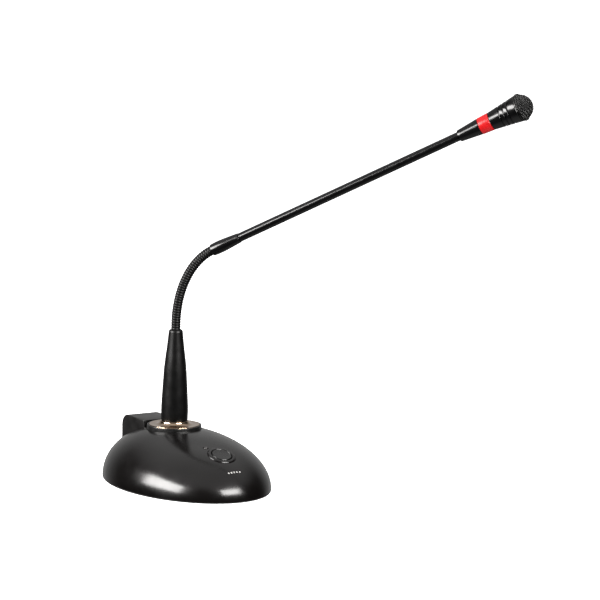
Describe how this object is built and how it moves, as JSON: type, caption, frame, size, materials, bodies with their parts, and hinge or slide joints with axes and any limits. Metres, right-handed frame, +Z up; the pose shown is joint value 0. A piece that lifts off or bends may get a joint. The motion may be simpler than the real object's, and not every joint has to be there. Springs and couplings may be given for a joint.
{
  "type": "desktop gooseneck microphone",
  "caption": "Desktop microphone: weighted oval dome base with push button and rear connector, tapered stem, flexible neck, straight boom and domed mesh head with red light ring.",
  "frame": {"origin": "on the desk surface, under the stem's axis, at the underside of the rubber mat", "axes": "+X towards the front of the base (the button end), +Y to the left of someone facing +X, +Z up"},
  "size_m": [0.2865, 0.2665, 0.3332],
  "materials": {
    "black_abs": "dark grey-black moulded plastic with a satin gloss",
    "black_rubber": "matte black rubber",
    "black_lacquer": "black gloss lacquer on plastic",
    "black_lacquer_steel": "black gloss lacquer on steel tube",
    "black_steel": "blackened steel",
    "zinc_steel": "bright zinc-plated steel",
    "cast_iron": "dark cast iron",
    "circuit_board": "green solder mask on glass-fibre board",
    "brass": "plain brass",
    "dark_nylon": "matte dark nylon",
    "silver_plate": "silver-plated contact",
    "button_black": "black plastic, worn smooth by fingers",
    "switch_black": "matte black plastic",
    "switch_grey": "light grey plastic",
    "smoked_lens": "smoked translucent lens, unlit",
    "polished_gold_chrome": "polished champagne-gold plating",
    "red_acrylic": "red translucent acrylic",
    "capsule_aluminium": "plain aluminium can",
    "bright_nickel": "bright nickel plating",
    "grey_foam": "open-cell dark grey foam"
  },
  "bodies": {
    "base": {"base_mat": "black_rubber", "base_plate": "zinc_steel", "base_screw_1": "zinc_steel", "base_screw_2": "zinc_steel", "base_screw_3": "zinc_steel", "base_screw_4": "zinc_steel", "ballast_weight": "cast_iron", "ballast_screw_1": "zinc_steel", "ballast_screw_2": "zinc_steel", "preamp_board": "circuit_board", "board_spacer_1": "brass", "board_spacer_2": "brass", "board_screw_1": "zinc_steel", "board_screw_2": "zinc_steel", "dome_shell": "black_abs", "rear_housing": "black_abs", "connector_shell": "zinc_steel", "connector_insert": "dark_nylon", "connector_pin_1": "silver_plate", "connector_pin_2": "silver_plate", "connector_pin_3": "silver_plate", "connector_screw_1": "black_steel", "connector_screw_2": "black_steel", "button_bezel": "black_abs", "switch_body": "switch_black", "switch_board": "circuit_board", "switch_board_screw_1": "zinc_steel", "switch_board_screw_2": "zinc_steel", "status_lamp": "smoked_lens", "collar_gasket": "black_rubber", "collar_flange": "polished_gold_chrome", "lock_washer": "zinc_steel", "collar_nut": "zinc_steel", "stem_sleeve": "black_lacquer", "stem_tube": "zinc_steel"},
    "button": {"talk_button": "button_black", "switch_plunger": "switch_grey"},
    "neck_base": {"neck_root": "black_steel"},
    "neck_1": {"neck_link_1": "black_steel"},
    "neck_2": {"neck_link_2": "black_steel"},
    "neck_3": {"neck_link_3": "black_steel"},
    "neck_4": {"neck_link_4": "black_steel"},
    "neck_5": {"neck_link_5": "black_steel"},
    "neck_6": {"neck_link_6": "black_steel"},
    "neck_7": {"neck_link_7": "black_steel"},
    "arm": {"neck_end": "black_steel", "boom_coupler": "black_lacquer", "boom_tube": "black_lacquer_steel", "mic_lead": "black_rubber", "head_tail": "black_lacquer", "lamp_board": "circuit_board", "light_ring": "red_acrylic", "head_barrel": "black_lacquer", "capsule_holder": "black_rubber", "mic_capsule": "capsule_aluminium", "trim_ring": "bright_nickel", "grille": "black_steel", "foam_screen": "grey_foam"}
  },
  "joints": [
    {"name": "button_press", "type": "slide", "parent": "base", "child": "button", "axis": [0.354, 0, 0.9352], "range_m": [-0.0012, 0], "stiffness_N_per_m": 800, "springref_m": 0.0012},
    {"name": "neck_azimuth", "type": "hinge", "parent": "base", "child": "neck_base", "pos_m": [0, 0, 0.1258], "axis": [0, 0, 1], "range_deg": [-180, 180]},
    {"name": "neck_bend_1", "type": "hinge", "parent": "neck_base", "child": "neck_1", "pos_m": [0, 0, 0.1369], "axis": [-0.682, 0.7314, 0], "range_deg": [-7.9, 4.6]},
    {"name": "neck_bend_2", "type": "hinge", "parent": "neck_1", "child": "neck_2", "pos_m": [0.00142, 0.00132, 0.15087], "axis": [-0.682, 0.7314, 0], "range_deg": [-7.9, 4.6]},
    {"name": "neck_bend_3", "type": "hinge", "parent": "neck_2", "child": "neck_3", "pos_m": [0.00382, 0.00356, 0.16247], "axis": [-0.682, 0.7314, 0], "range_deg": [-7.9, 4.6]},
    {"name": "neck_bend_4", "type": "hinge", "parent": "neck_3", "child": "neck_4", "pos_m": [0.00685, 0.00639, 0.1719], "axis": [-0.682, 0.7314, 0], "range_deg": [-7.9, 4.6]},
    {"name": "neck_bend_5", "type": "hinge", "parent": "neck_4", "child": "neck_5", "pos_m": [0.01022, 0.00954, 0.17941], "axis": [-0.682, 0.7314, 0], "range_deg": [-7.9, 4.6]},
    {"name": "neck_bend_6", "type": "hinge", "parent": "neck_5", "child": "neck_6", "pos_m": [0.01373, 0.0128, 0.18523], "axis": [-0.682, 0.7314, 0], "range_deg": [-7.9, 4.6]},
    {"name": "neck_bend_7", "type": "hinge", "parent": "neck_6", "child": "neck_7", "pos_m": [0.0172, 0.01604, 0.18959], "axis": [-0.682, 0.7314, 0], "range_deg": [-7.9, 4.6]},
    {"name": "neck_bend_8", "type": "hinge", "parent": "neck_7", "child": "arm", "pos_m": [0.02051, 0.01913, 0.19272], "axis": [-0.682, 0.7314, 0], "range_deg": [-7.9, 4.6]}
  ]
}
